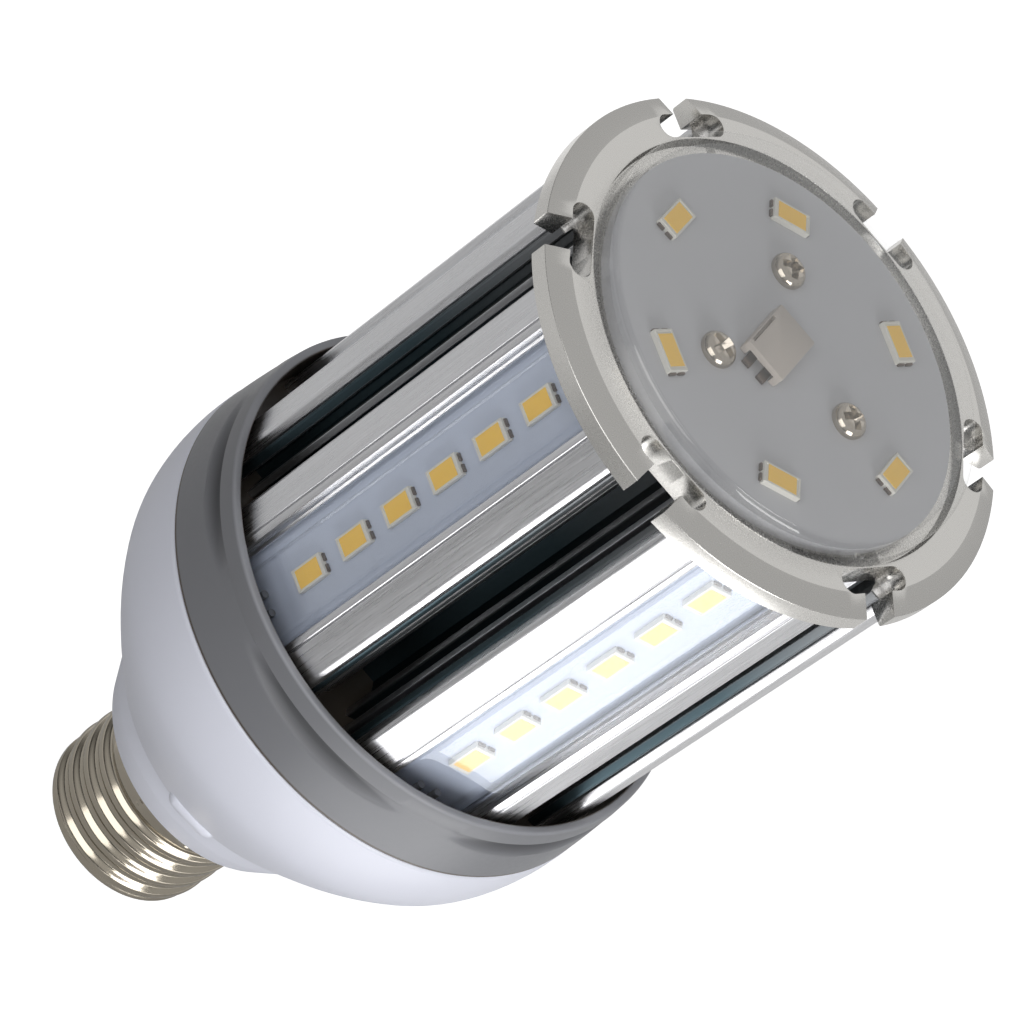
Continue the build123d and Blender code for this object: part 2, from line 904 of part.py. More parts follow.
def strip_leads():
    """Twelve leads, two down from the foot of each strip."""
    leads = []
    top = strip_board_bottom + strip_lead_reach
    turn = (collar_bottom + driver_top) / 2
    for index in range(face_count):
        for side in (-1, 1):
            across = side * lead_spacing / 2
            points = [
                (strip_lead_out, across, top),
                (strip_lead_out, across, turn),
                (strip_lead_inner, across, turn - strip_lead_bend * 1.5),
                (strip_lead_inner, across, driver_top),
            ]
            lead = tube(points, strip_lead_radius, strip_lead_bend)
            leads.append(Rot(0, 0, face_angle(index)) * lead)
    return leads


def save(name, shape):
    if isinstance(shape, (list, tuple)):
        solids = [solid for item in shape for solid in item.solids()]
        shape = Compound(children=solids)
    shape.label = name
    export_step(shape, os.path.join("parts", name + ".step"))


def main():
    os.makedirs("parts", exist_ok=True)
    save("screw_shell", screw_shell())
    save("base_insulator", base_insulator())
    save("centre_contact", centre_contact())
    save("lower_housing", lower_housing())
    save("collar_ring", collar_ring())
    save("heat_sink", heat_sink())
    save("end_cap", end_cap())
    save("head_lens", head_lens())
    save("head_board", head_board())
    save("head_led_packages", [place * led_package() for place in head_places()])
    save("head_led_phosphor", [place * led_window() for place in head_places()])
    save("head_screws", head_screws())
    save("head_connector", head_connector())
    save("connector_tabs", connector_tabs())
    for index in range(face_count):
        number = str(index + 1)
        save("strip_board_" + number, strip_board(index))
        save("strip_led_packages_" + number, [p * led_package() for p in strip_places(index)])
        save("strip_led_phosphor_" + number, [p * led_window() for p in strip_places(index)])
        save("strip_cover_" + number, strip_cover(index))
    save("collar_screws", collar_screws())
    save("driver_screws", driver_screws())
    save("driver_board", driver_board())
    save("transformer_core", transformer_core())
    save("transformer_coil", transformer_coil())
    save(
        "input_capacitor",
        can_capacitor(input_capacitor_radius, input_capacitor_height, input_capacitor_place),
    )
    save(
        "output_capacitor",
        can_capacitor(output_capacitor_radius, output_capacitor_height, output_capacitor_place),
    )
    save("choke", choke())
    save("rectifier", small_block(rectifier_size, rectifier_place))
    save("controller", small_block(controller_size, controller_place))
    save("fuse", fuse())
    save("input_leads", input_leads())
    save("output_leads", output_leads())
    save("strip_leads", strip_leads())


main()
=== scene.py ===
"""Screw-in lamp with strips of emitters round a finned body: its finished looks."""

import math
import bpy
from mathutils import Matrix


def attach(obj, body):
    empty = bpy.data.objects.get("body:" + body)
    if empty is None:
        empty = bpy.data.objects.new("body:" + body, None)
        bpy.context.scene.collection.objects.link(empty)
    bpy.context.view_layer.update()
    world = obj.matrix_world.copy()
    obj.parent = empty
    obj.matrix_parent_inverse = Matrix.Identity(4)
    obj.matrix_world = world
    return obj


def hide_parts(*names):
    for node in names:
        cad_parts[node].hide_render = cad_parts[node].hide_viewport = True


bl_info = {
    "name": "Screw-in strip lamp",
    "version": (1, 0, 0),
    "blender": (4, 5, 0),
    "location": "3D View > Sidebar > Lamp",
    "description": "Adds the detailed pieces, materials and stage of a screw-in strip lamp",
    "category": "Add Mesh",
}

import bmesh
import bpy
from mathutils import Matrix, Vector

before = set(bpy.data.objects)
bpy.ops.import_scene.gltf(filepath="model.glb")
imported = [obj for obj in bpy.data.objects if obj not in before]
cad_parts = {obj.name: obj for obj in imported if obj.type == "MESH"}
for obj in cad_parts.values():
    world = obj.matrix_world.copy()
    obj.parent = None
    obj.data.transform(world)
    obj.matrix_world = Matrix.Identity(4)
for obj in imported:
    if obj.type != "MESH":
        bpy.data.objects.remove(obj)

MM = 0.001
FACES = 6
FACE_STEP = math.tau / FACES
FIRST_FACE = -math.pi / 2
ROUND_STEPS = 144

# Heights and radii in millimetres, most of them shared by several pieces
SHELL_BOTTOM = 5.5
SHELL_TOP = 28.1
COLLAR_FOOT = 68.7
COLLAR_DECK = 73.6
CAP_BOTTOM = 141.4
LENS_SEAT = 144.0
HEAD_BOARD_TOP = 145.65
LENS_RADIUS = 29.15
CORE_BORE = 7.0


# Helpers for shapes

def face_angle(index):
    return FIRST_FACE + index * FACE_STEP


def gap_angle(index):
    return face_angle(index) + FACE_STEP / 2


def turn(angle):
    return Matrix.Rotation(angle, 4, "Z")


def shift(x, y, z):
    return Matrix.Translation(Vector((x, y, z)) * MM)


def finish_piece(name, bm, material, nodes, sharp):
    """Makes a closed bmesh an object in the lamp, smooth up to an angle in degrees."""
    mesh = bpy.data.meshes.new(name)
    bm.to_mesh(mesh)
    bm.free()
    piece = bpy.data.objects.new(name, mesh)
    bpy.context.scene.collection.objects.link(piece)
    mesh.materials.append(material)
    mesh.shade_smooth()
    mesh.set_sharp_from_angle(angle=math.radians(sharp))
    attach(piece, "root")
    if nodes:
        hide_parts(*nodes)


def paint(material, *names):
    """Gives CAD nodes their finish."""
    for name in names:
        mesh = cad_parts[name].data
        mesh.materials.clear()
        mesh.materials.append(material)


def rounded(points, radius, segments, keep=()):
    """Outline with its corners rounded, in millimetres. keep lists corners left sharp."""
    result = []
    count = len(points)
    for i, point in enumerate(points):
        here = Vector(point)
        before = Vector(points[i - 1]) - here
        after = Vector(points[(i + 1) % count]) - here
        angle = before.angle(after, math.pi)
        if i in keep or angle > math.radians(176):
            result.append(tuple(here))
            continue
        reach = min(radius / math.tan(angle / 2), before.length * 0.45, after.length * 0.45)
        start = here + before.normalized() * reach
        end = here + after.normalized() * reach
        for k in range(segments + 1):
            t = k / segments
            a = start.lerp(here, t)
            b = here.lerp(end, t)
            result.append(tuple(a.lerp(b, t)))
    return result


def flowing(points, steps):
    """Smooth line through the points, with so many steps between two of them."""
    result = []
    count = len(points)
    for i in range(count - 1):
        p0 = Vector(points[max(i - 1, 0)])
        p1 = Vector(points[i])
        p2 = Vector(points[i + 1])
        p3 = Vector(points[min(i + 2, count - 1)])
        for k in range(steps):
            t = k / steps
            result.append(tuple(0.5 * (
                2 * p1 + (p2 - p0) * t + (2 * p0 - 5 * p1 + 4 * p2 - p3) * t * t
                + (3 * p1 - p0 - 3 * p2 + p3) * t ** 3
            )))
    result.append(tuple(points[-1]))
    return result


def turned(points, steps=ROUND_STEPS):
    """Full turn of a closed (radius, height) outline about the lamp's axis."""
    bm = bmesh.new()
    verts = [bm.verts.new((r * MM, 0, z * MM)) for r, z in points]
    edges = [bm.edges.new((verts[i - 1], verts[i])) for i in range(len(verts))]
    bmesh.ops.spin(
        bm, geom=verts + edges, cent=(0, 0, 0), axis=(0, 0, 1), dvec=(0, 0, 0),
        angle=math.tau, steps=steps, use_merge=True, use_normal_flip=False,
        use_duplicate=False,
    )
    bmesh.ops.remove_doubles(bm, verts=bm.verts, dist=1e-7)
    loose = [edge for edge in bm.edges if not edge.link_faces]
    bmesh.ops.delete(bm, geom=loose, context="EDGES")
    bmesh.ops.recalc_face_normals(bm, faces=bm.faces)
    return bm


def prism(loops, bottom, top):
    """Straight solid between two heights from closed loops, the inner ones holes."""
    bm = bmesh.new()
    edges = []
    for loop in loops:
        verts = [bm.verts.new((x * MM, y * MM, bottom * MM)) for x, y in loop]
        edges += [bm.edges.new((verts[i - 1], verts[i])) for i in range(len(verts))]
    bmesh.ops.triangle_fill(bm, use_beauty=True, use_dissolve=False, edges=edges)
    grown = bmesh.ops.extrude_face_region(bm, geom=bm.faces[:])
    moved = [item for item in grown["geom"] if isinstance(item, bmesh.types.BMVert)]
    bmesh.ops.translate(bm, verts=moved, vec=(0, 0, (top - bottom) * MM))
    bmesh.ops.recalc_face_normals(bm, faces=bm.faces)
    return bm


def block(bm, size, place, bevel=0.0, segments=2):
    """Box of a size in millimetres at a place, its edges rounded."""
    made = bmesh.ops.create_cube(bm, size=1.0)
    verts = made["verts"]
    bmesh.ops.scale(bm, vec=Vector(size) * MM, verts=verts)
    if bevel:
        edges = list({edge for vert in verts for edge in vert.link_edges})
        result = bmesh.ops.bevel(
            bm, geom=edges, offset=bevel * MM, offset_type="OFFSET", segments=segments,
            profile=0.5, affect="EDGES", clamp_overlap=True, material=-1,
        )
        verts = list({vert for face in result["faces"] for vert in face.verts} | {
            vert for vert in verts if vert.is_valid})
    bmesh.ops.transform(bm, matrix=place, verts=verts)
    return verts


def merged(target, source, place):
    """Adds one bmesh to another at a place."""
    mesh = bpy.data.meshes.new("part")
    source.to_mesh(mesh)
    mesh.transform(place)
    target.from_mesh(mesh)
    bpy.data.meshes.remove(mesh)


def cut(bm, cutter):
    """Takes one bmesh out of another, and returns what is left."""
    objects = []
    for name, part in (("body", bm), ("cutter", cutter)):
        mesh = bpy.data.meshes.new(name)
        part.to_mesh(mesh)
        part.free()
        item = bpy.data.objects.new(name, mesh)
        bpy.context.scene.collection.objects.link(item)
        objects.append(item)
    body, tool = objects
    change = body.modifiers.new("cut", "BOOLEAN")
    change.operation = "DIFFERENCE"
    change.solver = "EXACT"
    change.object = tool
    graph = bpy.context.evaluated_depsgraph_get()
    result = bpy.data.meshes.new_from_object(body.evaluated_get(graph))
    left = bmesh.new()
    left.from_mesh(result)
    for item in objects:
        mesh = item.data
        bpy.data.objects.remove(item)
        bpy.data.meshes.remove(mesh)
    bpy.data.meshes.remove(result)
    bmesh.ops.remove_doubles(left, verts=left.verts, dist=1e-7)
    return left


def ease_edges(bm, width, angle, test=None):
    """Rounds the edges sharper than an angle in degrees, or those of them that pass a test."""
    limit = math.radians(angle)
    edges = [
        edge for edge in bm.edges
        if len(edge.link_faces) == 2 and edge.calc_face_angle(0) > limit
        and (test is None or test(edge))
    ]
    bmesh.ops.bevel(
        bm, geom=edges, offset=width * MM, offset_type="OFFSET", segments=2,
        profile=0.5, affect="EDGES", clamp_overlap=True, material=-1,
    )


# Helpers for finishes

def srgb(red, green, blue):
    """Linear colour from the values of a screen colour."""
    def linear(value):
        value /= 255
        return value / 12.92 if value <= 0.04045 else ((value + 0.055) / 1.055) ** 2.4
    return (linear(red), linear(green), linear(blue))


class Tree:
    """A shader's nodes while they are put together."""

    def __init__(self, tree):
        self.nodes = tree.nodes
        self.links = tree.links

    def new(self, kind, **values):
        """Adds a node, with plain values on its inputs."""
        node = self.nodes.new("ShaderNode" + kind)
        for key, value in values.items():
            node.inputs[key].default_value = value
        return node

    def give(self, value, socket):
        """Links one socket to another, or sets it to a plain value."""
        if isinstance(value, bpy.types.NodeSocket):
            self.links.new(value, socket)
        else:
            socket.default_value = value

    def place(self):
        """Where a point lies on the object, in metres."""
        return self.new("TexCoord").outputs["Object"]

    def parts(self, source):
        """The three parts of a vector."""
        node = self.new("SeparateXYZ")
        self.links.new(source, node.inputs["Vector"])
        return node.outputs

    def noise(self, vector, scale, **values):
        """Mask of even noise."""
        node = self.new("TexNoise", **values)
        self.links.new(vector, node.inputs["Vector"])
        self.give(scale, node.inputs["Scale"])
        return node.outputs["Fac"]

    def ranged(self, source, low, high, start=0.0, end=1.0):
        """A value between two limits from a mask that runs from start to end."""
        node = self.nodes.new("ShaderNodeMapRange")
        node.inputs["From Min"].default_value = start
        node.inputs["From Max"].default_value = end
        self.give(low, node.inputs["To Min"])
        self.give(high, node.inputs["To Max"])
        self.links.new(source, node.inputs["Value"])
        return node.outputs["Result"]

    def maths(self, kind, *values):
        """Result of a sum on values or sockets."""
        node = self.new("Math")
        node.operation = kind
        for socket, value in zip(node.inputs, values):
            self.give(value, socket)
        return node.outputs[0]

    def tinted(self, source, first, second):
        """A colour between two from a mask."""
        node = self.new("Mix")
        node.data_type = "RGBA"
        for key, value in (("A", first), ("B", second)):
            plain_colour = not isinstance(value, bpy.types.NodeSocket)
            self.give((*value, 1.0) if plain_colour else value, node.inputs[key])
        self.links.new(source, node.inputs["Factor"])
        return node.outputs["Result"]


def effect(name, inputs, outputs, build):
    """Shader group of plain values that several finishes share."""
    group = bpy.data.node_groups.get(name)
    if group:
        return group
    group = bpy.data.node_groups.new(name, "ShaderNodeTree")
    for socket, default in inputs:
        item = group.interface.new_socket(
            name=socket, in_out="INPUT", socket_type="NodeSocketFloat")
        item.default_value = default
    for socket in outputs:
        group.interface.new_socket(name=socket, in_out="OUTPUT", socket_type="NodeSocketFloat")
    source = group.nodes.new("NodeGroupInput")
    sink = group.nodes.new("NodeGroupOutput")
    tree = Tree(group)
    for value, socket in zip(build(tree, source.outputs), sink.inputs):
        tree.give(value, socket)
    return group


def drawn_lines():
    """Fine lines along the lamp, as on drawn or extruded metal."""
    def build(tree, given):
        stretch = tree.new("Mapping", Scale=(1.0, 1.0, 0.02))
        tree.links.new(tree.place(), stretch.inputs["Vector"])
        noise = tree.noise(stretch.outputs["Vector"], given["Scale"], Detail=4.0, Roughness=0.65)
        return [tree.ranged(noise, 0.0, 1.0, 0.3, 0.7)]
    return effect("Drawn lines", [("Scale", 4000.0)], ["Lines"], build)


def fine_grain():
    """Even grain of a moulded, blasted or printed surface, and slow soft clouds."""
    def build(tree, given):
        place = tree.place()
        return [tree.noise(place, given["Scale"], Detail=3.0), tree.noise(place, 60.0, Detail=3.0)]
    return effect("Fine grain", [("Scale", 3000.0)], ["Grain", "Clouds"], build)


def face_reading():
    """Place on the nearest of the six faces, in metres: across it, out from the axis, height."""
    def build(tree, given):
        maths = tree.maths
        x, y, z = tree.parts(tree.place())
        around = maths("ADD", maths("ARCTAN2", y, x), math.tau + FACE_STEP / 2)
        angle = maths("SUBTRACT", maths("MODULO", maths("ADD", around, FACE_STEP / 2), FACE_STEP),
                      FACE_STEP / 2)
        radius = maths("SQRT", maths("ADD", maths("MULTIPLY", x, x), maths("MULTIPLY", y, y)))
        return [maths("MULTIPLY", radius, maths("SINE", angle)),
                maths("MULTIPLY", radius, maths("COSINE", angle)), z]
    return effect("Face reading", [], ["Across", "Out", "Height"], build)


class Finish(Tree):
    """One material while it is put together."""

    def __init__(self, name, colour, roughness, metallic=0.0, **values):
        self.material = bpy.data.materials.new(name)
        self.material.use_nodes = True
        self.material.diffuse_color = (*colour, 1.0)
        super().__init__(self.material.node_tree)
        self.shader = self.nodes["Principled BSDF"]
        self.set("Base Color", (*colour, 1.0))
        self.set("Roughness", roughness)
        self.set("Metallic", metallic)
        for key, value in values.items():
            self.set(key.replace("_", " "), value)

    def set(self, socket, value):
        self.shader.inputs[socket].default_value = value

    def group(self, tree, **values):
        node = self.new("Group")
        node.node_tree = tree
        for key, value in values.items():
            node.inputs[key].default_value = value
        return node.outputs

    def feed(self, source, socket):
        self.links.new(source, self.shader.inputs[socket])

    def relief(self, source, height, strength=0.3):
        node = self.new("Bump", Distance=height, Strength=strength)
        self.links.new(source, node.inputs["Height"])
        self.links.new(node.outputs["Normal"], self.shader.inputs["Normal"])


def shade(colour, factor):
    return tuple(min(1.0, value * factor) for value in colour)


def grained(name, colour, roughness, metallic=0.0, scale=3000.0, depth=0.04, height=0.00001,
            **values):
    """Finish with an even grain: moulded plastic, solder mask or blasted metal."""
    finish = Finish(name, colour, roughness, metallic, **values)
    grain = finish.group(fine_grain(), Scale=scale)
    finish.tone = finish.tinted(grain["Clouds"], shade(colour, 1 - depth), shade(colour, 1 + depth))
    finish.feed(finish.tone, "Base Color")
    rough = finish.ranged(grain["Grain"], roughness * 0.85, min(1.0, roughness * 1.15))
    finish.feed(rough, "Roughness")
    finish.relief(grain["Grain"], height)
    return finish


def clear(name, colour, least, most, roughness):
    """Clear plastic: light passes it, and it mirrors more where it is seen at a slant."""
    finish = Finish(name, colour, roughness, 1.0)
    slant = finish.new("LayerWeight", Blend=0.5)
    grazing = finish.maths("POWER", slant.outputs["Facing"], 5.0)
    finish.feed(finish.ranged(grazing, least, most), "Alpha")
    return finish


# Sizes and colours a user would change

def length(name, description, default):
    """Property for a length, its default in millimetres."""
    return bpy.props.FloatProperty(
        name=name, description=description, default=default * MM, subtype="DISTANCE",
        unit="LENGTH")


def colour_of(name, description, red, green, blue):
    """Property for a colour, its default as the values of a screen colour."""
    return bpy.props.FloatVectorProperty(
        name=name, description=description, default=srgb(red, green, blue), subtype="COLOR",
        min=0.0, max=1.0)


class LampBaseSizes(bpy.types.PropertyGroup):
    """Screw shell, lower housing and collar"""
    thread_radius: length("Thread radius", "Outside radius of the thread", 13.2)
    thread_depth: length("Thread depth", "Depth of the rolled thread", 0.85)
    thread_pitch: length("Thread pitch", "Rise of the thread in one turn", 3.63)
    shell_colour: colour_of("Shell colour", "Colour of the plated shell", 186, 178, 163)
    housing_colour: colour_of("Housing colour", "Colour of the lower housing", 222, 224, 235)
    collar_colour: colour_of("Collar colour", "Colour of the collar", 115, 116, 120)


class LampBodySizes(bpy.types.PropertyGroup):
    """Heat sink, end cap and lens"""
    edge_easing: length("Edge easing", "Rounding of the extrusion's corners", 0.12)
    body_colour: colour_of("Body colour", "Colour of the extruded aluminium", 213, 213, 215)
    # Painted shade: the colour that stands for the shade on the walls deep in the gaps.
    gap_shade_colour: colour_of("Gap colour", "Dark colour of the walls deep in the gaps", 66, 81, 87)
    cap_colour: colour_of("Cap colour", "Colour of the end cap", 216, 214, 210)
    lens_height: length("Lens height", "Height of the head lens above its seat", 4.75)


class LampLightSizes(bpy.types.PropertyGroup):
    """Boards and emitters"""
    strip_colour: colour_of("Strip board colour", "Colour of the long boards", 191, 200, 218)
    head_colour: colour_of("Head board colour", "Colour of the round board", 190, 191, 195)
    phosphor_colour: colour_of("Phosphor colour", "Colour of the emitters' fill", 255, 203, 72)


class LampStageSizes(bpy.types.PropertyGroup):
    """Lamps, surroundings, floor and camera"""
    light_level: bpy.props.FloatProperty(
        name="Light level", description="Strength of all the studio lamps together", default=1.0,
        min=0.0)
    world_level: bpy.props.FloatProperty(
        name="Surroundings", description="Brightness of the surroundings", default=0.2, min=0.0)
    patch_level: bpy.props.FloatProperty(
        name="Floor patch", description="Brightness of the patch of floor that the faces mirror",
        default=3.6, min=0.0)
    lens_length: bpy.props.FloatProperty(
        name="Camera lens", description="Focal length of the camera in millimetres", default=202.8,
        min=1.0)


# Base

class LAMP_OT_screw_shell(bpy.types.Operator):
    """Add the rolled screw shell with its crimp dents"""
    bl_idname = "lamp.screw_shell"
    bl_label = "Screw shell"

    def execute(self, context):
        sizes = context.scene.lamp_base
        crest = sizes.thread_radius / MM
        depth = sizes.thread_depth / MM
        pitch = sizes.thread_pitch / MM
        wall = 0.4
        heights = [SHELL_BOTTOM + 2.1 + i * 0.22 for i in range(93)] + [SHELL_TOP]
        shoulder = crest - 0.3
        mouth = rounded([(9.6, SHELL_BOTTOM), (shoulder, SHELL_BOTTOM), (shoulder, heights[0])],
                        2.2, 8)
        outer = mouth[:-1] + [(crest, z) for z in heights]
        inner = [(r - wall, z + (wall if z < SHELL_BOTTOM + 1 else 0)) for r, z in reversed(outer)]
        bm = turned(outer + inner, 180)
        thread_start, thread_end = SHELL_BOTTOM + 0.9, 21.6
        first_crest = 18.5 - math.radians(-68) / math.tau * pitch
        for vert in bm.verts:
            x, y, z = vert.co / MM
            if z <= thread_start:
                continue
            radius = math.hypot(x, y)
            angle = math.atan2(y, x)
            phase = ((z - first_crest) / pitch - angle / math.tau) * math.tau
            wave = 0.5 - 0.5 * math.cos(phase)
            wave = wave * wave * (3 - 2 * wave)
            rise = min(1.0, (z - thread_start) / 1.6)
            fade = min(1.0, max(0.0, (thread_end - z) / 1.8))
            factor = (radius - depth * wave * rise * fade - self.dent(radius, angle, z)) / radius
            vert.co.x *= factor
            vert.co.y *= factor
        plating = grained("Nickel plating", tuple(sizes.shell_colour), 0.16, 1.0, scale=900.0,
                          depth=0.05, height=0.00003)
        finish_piece("screw_shell_rolled", bm, plating.material, ["screw_shell"], 60)
        return {"FINISHED"}

    def dent(self, radius, angle, height):
        """How deep a place on the skirt is pressed in by the ring of crimp dents."""
        step, first = math.radians(40), math.radians(-90 + 19.2)
        middle, reach, depth = 22.1, 1.1, 0.45
        turn_off = (angle - first + step / 2) % step - step / 2
        far = math.hypot(turn_off * radius, height - middle)
        return depth * (1 + math.cos(math.pi * far / reach)) / 2 if far < reach else 0.0


class LAMP_OT_contact(bpy.types.Operator):
    """Finish the centre contact and its insulator"""
    bl_idname = "lamp.contact"
    bl_label = "Contact and insulator"

    def execute(self, context):
        paint(grained("Contact metal", srgb(196, 180, 140), 0.3, 1.0).material, "centre_contact")
        paint(grained("Black insulator", srgb(28, 28, 30), 0.25).material, "base_insulator")
        return {"FINISHED"}


class LAMP_OT_lower_housing(bpy.types.Operator):
    """Add the white lower housing with its neck and pads"""
    bl_idname = "lamp.lower_housing"
    bl_label = "Lower housing"

    def execute(self, context):
        sizes = context.scene.lamp_base
        side = flowing([
            (37.05, 68.4), (37.05, 64.5), (36.55, 60.2), (35.5, 56.3), (33.6, 52.5),
            (31.1, 48.5), (28.1, 44.3), (25.6, 41.0), (23.9, 38.85)], 6)
        neck = rounded([(23.5, 38.4), (22.8, 38.2), (20.9, 33.3), (18.3, SHELL_TOP),
                        (12.7, SHELL_TOP)], 0.5, 4, keep=(0, 4))
        spigot = [(12.7, 24.0), (7.2, 24.0), (7.2, 30.3), (16.0, 30.3), (16.0, 34.3)]
        inside = [(22.3, 40.1), (29.0, 50.0), (33.6, 58.0), (34.6, 68.4), (34.6, COLLAR_FOOT)]
        tongue = [(33.75, COLLAR_FOOT), (33.75, 70.9), (35.15, 70.9)]
        outline = [(35.15, COLLAR_FOOT), (36.8, COLLAR_FOOT)] + side + neck
        outline += spigot + inside + tongue
        bm = turned(outline)
        for index in range(3):
            pill = bmesh.new()
            bmesh.ops.create_uvsphere(pill, u_segments=24, v_segments=16, radius=2.0 * MM)
            for vert in pill.verts:
                vert.co.y += math.copysign(2.3 * MM, vert.co.y) if abs(vert.co.y) > 1e-9 else 0
            place = turn(math.radians(-57 + 120 * index)) @ shift(23.1, 0, 39.7)
            merged(bm, pill, place)
            pill.free()
        white = grained("White moulding", tuple(sizes.housing_colour), 0.38, scale=1500.0,
                        depth=0.012, height=0.000006, Specular_IOR_Level=0.35)
        finish_piece("lower_housing_moulded", bm, white.material,
                     ["lower_housing"], 40)
        return {"FINISHED"}


class LAMP_OT_collar(bpy.types.Operator):
    """Add the grey collar with its lip and hollows"""
    bl_idname = "lamp.collar"
    bl_label = "Collar"

    # The side's foot, and the ledge over the hollows
    foot_radius, foot_height = 36.95, 69.0
    ledge_radius, ledge_height = 36.4, 78.0

    def execute(self, context):
        sizes = context.scene.lamp_base
        height = self.ledge_height - self.foot_height
        lean = self.foot_radius - self.ledge_radius
        side = [(36.65, COLLAR_FOOT)]
        side += [(self.foot_radius - lean * (k / 30) ** 1.5, self.foot_height + height * k / 30)
                 for k in range(31)]
        inner, top = 34.7, 80.8
        lip = rounded([(36.45, 78.15), (36.15, top), (inner, top)], 0.5, 5, keep=(0,))
        outline = side + lip + [(inner, COLLAR_DECK)]
        outline += [(CORE_BORE, COLLAR_DECK), (CORE_BORE, 71.2), (35.25, 71.2),
                    (35.25, COLLAR_FOOT)]
        bm = turned(outline, 216)
        self.press_hollows(bm)
        finish_piece("collar_moulded", bm, self.plastic(sizes).material,
                     ["collar_ring"], 35)
        return {"FINISHED"}

    def press_hollows(self, bm):
        """Presses a shallow hollow into the side below each gap, deepest under the ledge."""
        arc_radius, depth = 60.5, 1.15
        centre = self.ledge_radius - depth - arc_radius
        for vert in bm.verts:
            x, y, z = vert.co / MM
            radius = math.hypot(x, y)
            if radius < 35.6 or not 72.0 < z < self.ledge_height + 0.05:
                continue
            angle = (math.atan2(y, x) - gap_angle(0) + FACE_STEP / 2) % FACE_STEP - FACE_STEP / 2
            surface = centre * math.cos(angle) + math.sqrt(
                arc_radius ** 2 - (centre * math.sin(angle)) ** 2)
            foot = max(0.0, (77.0 - z) / 1.9)
            limit = surface + 1.35 * foot ** 1.6
            if radius > limit:
                vert.co.x *= limit / radius
                vert.co.y *= limit / radius

    def plastic(self, sizes):
        """Grey moulding, with painted shade in the hollows and inside the lip, a painted highlight
        along the lip's top, and a dark line at its foot.
        """
        colour = tuple(sizes.collar_colour)
        grey = grained("Grey moulding", colour, 0.42, scale=1500.0, depth=0.03, height=0.000008)
        reading = grey.group(face_reading())
        height = reading["Height"]
        radius = grey.maths("SQRT", grey.maths(
            "ADD", grey.maths("MULTIPLY", reading["Across"], reading["Across"]),
            grey.maths("MULTIPLY", reading["Out"], reading["Out"])))
        foot, ledge = self.foot_height * MM, self.ledge_height * MM
        rise = grey.maths("POWER", grey.ranged(height, 0.0, 1.0, foot, ledge), 1.5)
        side = grey.ranged(rise, self.foot_radius * MM, self.ledge_radius * MM)
        depth = grey.maths("SUBTRACT", side, radius)
        below = grey.ranged(height, 1.0, 0.0, ledge - 0.1 * MM, ledge + 0.1 * MM)
        # Painted shade: the hollows darken most right under the ledge.
        hollow = grey.maths("MULTIPLY", grey.ranged(depth, 0.0, 1.0, 0.15 * MM, 1.0 * MM), below)
        tone = grey.tinted(hollow, grey.tone, shade(colour, 0.4))
        # Painted highlight: a paler band along the top of the lip.
        lip = grey.ranged(height, 0.0, 1.0, 80.3 * MM, 80.7 * MM)
        tone = grey.tinted(lip, tone, shade(colour, 1.7))
        # Painted shade: the inside of the lip is coloured dark brown.
        inner = grey.ranged(radius, 1.0, 0.0, 35.02 * MM, 35.2 * MM)
        tone = grey.tinted(inner, tone, srgb(78, 70, 62))
        joint = grey.ranged(height, 1.0, 0.0, 69.2 * MM, 69.4 * MM)
        grey.feed(grey.tinted(joint, tone, srgb(74, 66, 58)), "Base Color")
        return grey


# Body

def face_half():
    """Right half of one face's section as (across, out), from the board's seat to the gap."""
    points = [(6.7, 29.2), (6.7, 31.35), (6.25, 31.35), (6.25, 31.85), (6.6, 32.2), (6.95, 33.35),
              (7.9, 33.42), (8.08, 32.95), (8.3, 33.34), (12.15, 31.92), (12.6, 31.45), (12.6, 30.4),
              (12.35, 30.15), (12.6, 29.9), (12.6, 28.8), (8.0, 28.15)]
    for place, reach in ((26.5, 12.0), (22.6, 11.0)):
        points += [(8.0, place + 0.5), (reach, place + 0.5), (reach, place - 0.5),
                   (8.0, place - 0.5)]
    return points + [(7.2, 16.0)]


def face_place(points, index):
    """Points read from a face's centre line, put round the lamp."""
    angle = face_angle(index)
    across = Vector((-math.sin(angle), math.cos(angle)))
    out = Vector((math.cos(angle), math.sin(angle)))
    return [tuple(across * a + out * o) for a, o in points]


